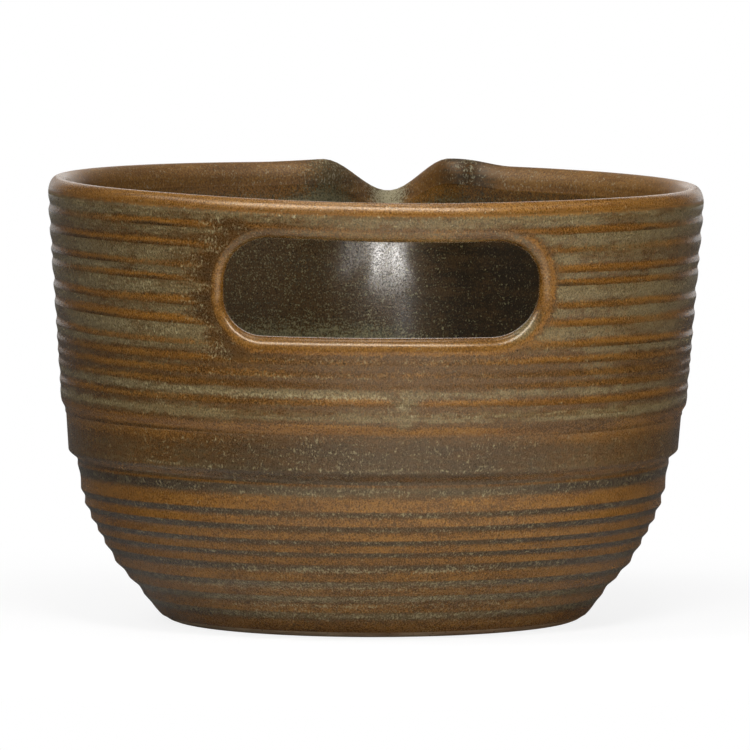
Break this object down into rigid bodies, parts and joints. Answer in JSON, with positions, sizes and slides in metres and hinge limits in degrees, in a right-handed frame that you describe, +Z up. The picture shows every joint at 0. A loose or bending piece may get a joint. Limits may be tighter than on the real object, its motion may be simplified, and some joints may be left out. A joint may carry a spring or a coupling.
{
  "type": "spouted bowl",
  "caption": "Round stoneware bowl with a pulled pouring spout, a hand slot through the wall opposite it, throwing rings outside and a brown and grey-green glaze.",
  "frame": {"origin": "centre of the foot on the rest plane", "axes": "+Z up, +Y towards the spout, hand slot at -Y, +X to the right when looking at the slot"},
  "size_m": [0.164, 0.1775, 0.1102],
  "materials": {
    "clay": "bare fired stoneware, matt",
    "outside_glaze": "satin reactive glaze, rust on the crests and grey-green in the grooves",
    "rim_glaze": "satin rust-brown glaze, thin over the edges",
    "inside_glaze": "glossy dark brown glaze with fine pale speckle"
  },
  "bodies": {
    "root": {"stoneware_body": "clay", "outside_glaze": "outside_glaze", "rim_glaze": "rim_glaze", "inside_glaze": "inside_glaze", "slot_glaze": "rim_glaze"}
  },
  "joints": []
}
